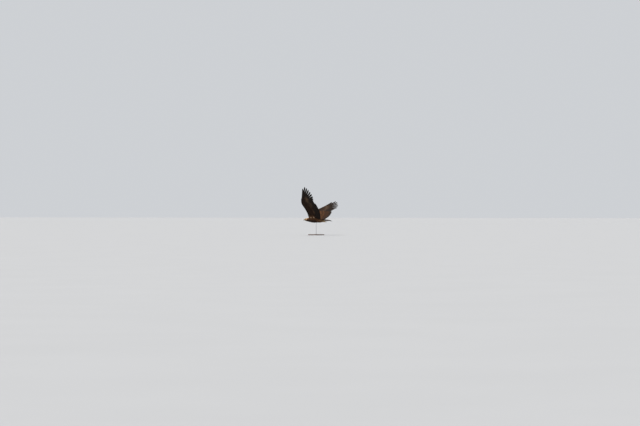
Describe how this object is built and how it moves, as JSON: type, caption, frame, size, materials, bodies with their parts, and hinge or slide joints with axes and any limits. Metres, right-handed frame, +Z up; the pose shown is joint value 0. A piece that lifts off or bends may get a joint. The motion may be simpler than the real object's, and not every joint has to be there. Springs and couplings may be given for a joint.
{
  "type": "golden eagle",
  "caption": "Life-size golden eagle in flapping flight with both wings raised, banking on a round display base and one rod.",
  "frame": {"origin": "centre of the underside of the stand's round base", "axes": "+Z up from the floor; the bird heads along -Y with its left wing towards +X"},
  "size_m": [1.5773, 0.8544, 1.2541],
  "materials": {
    "plumage": "matte dark brown body feathers",
    "flight": "dark grey-brown flight and tail feathers with a faint sheen",
    "hackles": "golden buff hackles of head and nape",
    "leg_feathers": "matte buff brown leg feathers",
    "horn": "polished slate to black horn",
    "cere": "waxy yellow skin",
    "eye": "wet glossy amber brown",
    "toes": "yellow scaled skin",
    "claw": "polished black horn",
    "stand_wood": "dark satin varnished wood",
    "stand_steel": "brushed steel"
  },
  "bodies": {
    "root": {"torso": "plumage", "neck": "hackles", "head": "hackles", "cere": "cere", "beak_upper": "horn", "beak_lower": "horn", "tail": "flight", "eye_left": "eye", "wing_left": "flight", "thigh_left": "leg_feathers", "shank_left": "leg_feathers", "foot_left": "toes", "claw_left_inner": "claw", "claw_left_middle": "claw", "claw_left_outer": "claw", "claw_left_hind": "claw", "eye_right": "eye", "wing_right": "flight", "thigh_right": "leg_feathers", "shank_right": "leg_feathers", "foot_right": "toes", "claw_right_inner": "claw", "claw_right_middle": "claw", "claw_right_outer": "claw", "claw_right_hind": "claw", "stand_base": "stand_wood", "stand_collar": "stand_steel", "stand_rod": "stand_steel"}
  },
  "joints": []
}
